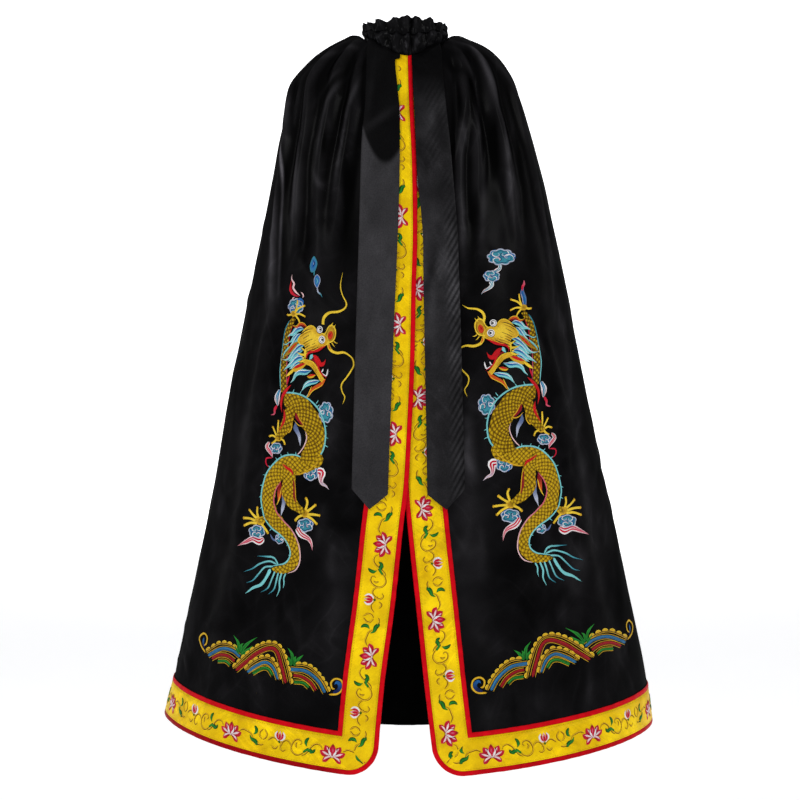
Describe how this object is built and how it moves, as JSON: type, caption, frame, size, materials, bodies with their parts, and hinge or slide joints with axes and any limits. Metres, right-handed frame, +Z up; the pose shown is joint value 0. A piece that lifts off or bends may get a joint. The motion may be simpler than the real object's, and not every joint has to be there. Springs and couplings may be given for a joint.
{
  "type": "deity statue cape",
  "caption": "Long black satin cape for a statue, with gathered ruffled collar, pointed front ties, yellow lotus-scroll border piped in red, and embroidered dragons.",
  "frame": {"origin": "middle of the neck, where the wearer carries the cape, level with the top of the shoulders", "axes": "+Z up along the wearer's neck, +X to the wearer's left, which is the viewer's right, and +Y to the wearer's back"},
  "size_m": [0.6559, 0.4623, 0.995],
  "materials": {
    "black_satin": "black polyester satin with a soft sheen, small crumples and embroidery",
    "tie_satin": "black satin on the bias, catching more light, so it looks grey",
    "yellow_band": "golden yellow satin with an embroidered lotus scroll",
    "red_piping": "red satin binding and piping"
  },
  "bodies": {
    "root": {"panel_back": "black_satin", "panel_front_right": "black_satin", "panel_front_left": "black_satin", "neck_casing": "black_satin", "collar_ruffle": "black_satin", "tie_right": "tie_satin", "tie_left": "tie_satin", "trim_front_right": "yellow_band", "trim_front_left": "yellow_band", "trim_back": "yellow_band", "edge_binding_right": "red_piping", "edge_binding_left": "red_piping", "edge_binding_back": "red_piping", "inner_piping_right": "red_piping", "inner_piping_left": "red_piping", "inner_piping_back": "red_piping"}
  },
  "joints": []
}
